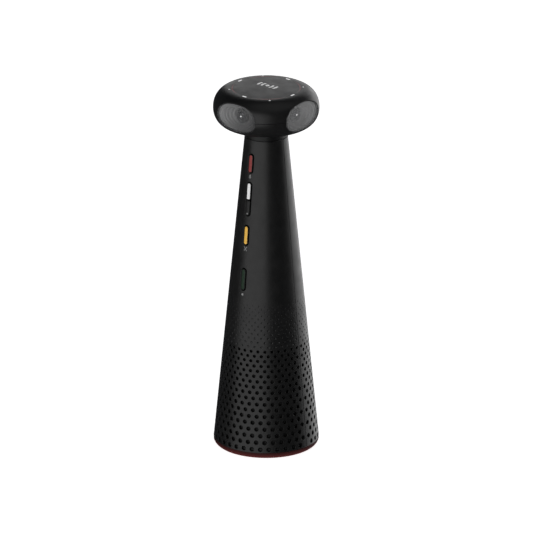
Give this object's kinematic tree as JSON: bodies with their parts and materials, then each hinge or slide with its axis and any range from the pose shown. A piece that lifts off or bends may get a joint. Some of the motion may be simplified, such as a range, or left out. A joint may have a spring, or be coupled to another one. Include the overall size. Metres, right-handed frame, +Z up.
{
  "type": "conference speakerphone",
  "caption": "Tapered tower speakerphone with a drilled sound grille at its foot, a column of side buttons and a round camera head with oval windows all round.",
  "frame": {"origin": "on the table under the middle of the foot", "axes": "+Z up; the buttons are on the -Y side, the sockets on +Y, and the head's windows face -Y, +X, +Y and -X"},
  "size_m": [0.0842, 0.0842, 0.3],
  "materials": {
    "body_plastic": "satin black, fine texture",
    "head_plastic": "satin black, fine texture",
    "collar_plastic": "matt black",
    "panel_plastic": "matt black",
    "inner_plastic": "moulded, as made",
    "switch_plastic": "moulded, as made",
    "lens_plastic": "matt black",
    "baffle_plastic": "dead matt black",
    "jack_plastic": "moulded black",
    "grille_cloth": "fine black weave",
    "spider_cloth": "resin-stiffened weave",
    "cone_paper": "pressed paper",
    "foot_rubber": "dark red, matt",
    "surround_rubber": "matt",
    "gasket_rubber": "matt",
    "screw_steel": "zinc plated",
    "socket_steel": "drawn, tin plated",
    "driver_steel": "black passivated",
    "mesh_steel": "fine woven mesh",
    "ballast_iron": "as cast",
    "magnet_ceramic": "ground ferrite",
    "coil_copper": "enamelled copper winding",
    "chassis_aluminium": "die cast",
    "microphone_brass": "gold plated can",
    "circuit_board": "green solder mask",
    "cable_film": "polyimide film",
    "led_resin": "clear resin over phosphor",
    "light_guide": "milky white diffuser",
    "status_red": "dark red window",
    "lens_glass": "coated dark glass",
    "smoked_glass": "smoked, polished",
    "button_red": "satin, moulded",
    "button_white": "satin, moulded",
    "button_grey": "satin, moulded",
    "button_yellow": "satin, moulded",
    "button_green": "satin, moulded"
  },
  "bodies": {
    "tower": {"front_shell": "body_plastic", "rear_shell": "body_plastic", "acoustic_cloth": "grille_cloth", "foot_ring": "foot_rubber", "base_plate": "inner_plastic", "base_screws": "screw_steel", "ballast_weight": "ballast_iron", "port_panel": "panel_plastic", "usb_c_socket": "socket_steel", "power_jack": "jack_plastic", "port_board": "circuit_board", "speaker_box": "inner_plastic", "driver_frame": "driver_steel", "driver_yoke": "driver_steel", "driver_front_plate": "driver_steel", "driver_magnet": "magnet_ceramic", "speaker_surround": "surround_rubber", "spider": "spider_cloth", "acoustic_deflector": "inner_plastic", "speaker_legs": "inner_plastic", "inner_spine": "inner_plastic", "main_board": "circuit_board", "button_board": "circuit_board", "switch_housings": "switch_plastic", "head_cable": "cable_film", "neck_collar": "collar_plastic", "neck_screws": "screw_steel", "head_top_cover": "head_plastic", "head_lower_cover": "head_plastic", "head_screws": "screw_steel", "window_gaskets": "gasket_rubber", "camera_chassis": "chassis_aluminium", "camera_boards": "circuit_board", "lens_barrels": "lens_plastic", "lens_elements": "lens_glass", "lens_baffles": "baffle_plastic", "microphone_board": "circuit_board", "microphones": "microphone_brass", "status_leds": "led_resin", "microphone_ports": "mesh_steel", "led_light_guides": "light_guide", "status_light_arcs": "status_red", "lens_window_front": "smoked_glass", "lens_window_right": "smoked_glass", "lens_window_rear": "smoked_glass", "lens_window_left": "smoked_glass"},
    "mute_key": {"mute_button": "button_red", "mute_plunger": "switch_plastic"},
    "volume_up_key": {"volume_up_button": "button_white", "volume_up_plunger": "switch_plastic"},
    "volume_down_key": {"volume_down_button": "button_grey", "volume_down_plunger": "switch_plastic"},
    "mode_key": {"mode_button": "button_yellow", "mode_plunger": "switch_plastic"},
    "power_key": {"power_button": "button_green", "power_plunger": "switch_plastic"},
    "speaker_diaphragm": {"speaker_cone": "cone_paper", "dust_cap": "cone_paper", "voice_coil": "coil_copper"}
  },
  "joints": [
    {"name": "mute_press", "type": "slide", "parent": "tower", "child": "mute_key", "axis": [0, 0.9953, -0.097], "range_m": [0, 0.0006], "stiffness_N_per_m": 1000, "springref_m": -0.0006},
    {"name": "volume_up_press", "type": "slide", "parent": "tower", "child": "volume_up_key", "axis": [0, 0.9953, -0.097], "range_m": [0, 0.0006], "stiffness_N_per_m": 1000, "springref_m": -0.0006},
    {"name": "volume_down_press", "type": "slide", "parent": "tower", "child": "volume_down_key", "axis": [0, 0.9953, -0.097], "range_m": [0, 0.0006], "stiffness_N_per_m": 1000, "springref_m": -0.0006},
    {"name": "mode_press", "type": "slide", "parent": "tower", "child": "mode_key", "axis": [0, 0.9953, -0.097], "range_m": [0, 0.0006], "stiffness_N_per_m": 1000, "springref_m": -0.0006},
    {"name": "power_press", "type": "slide", "parent": "tower", "child": "power_key", "axis": [0, 0.9953, -0.097], "range_m": [0, 0.0006], "stiffness_N_per_m": 1000, "springref_m": -0.0006},
    {"name": "diaphragm_travel", "type": "slide", "parent": "tower", "child": "speaker_diaphragm", "axis": [0, 0, 1], "range_m": [-0.0015, 0.0015], "stiffness_N_per_m": 1200, "deforming": ["speaker_surround", "spider"]}
  ]
}
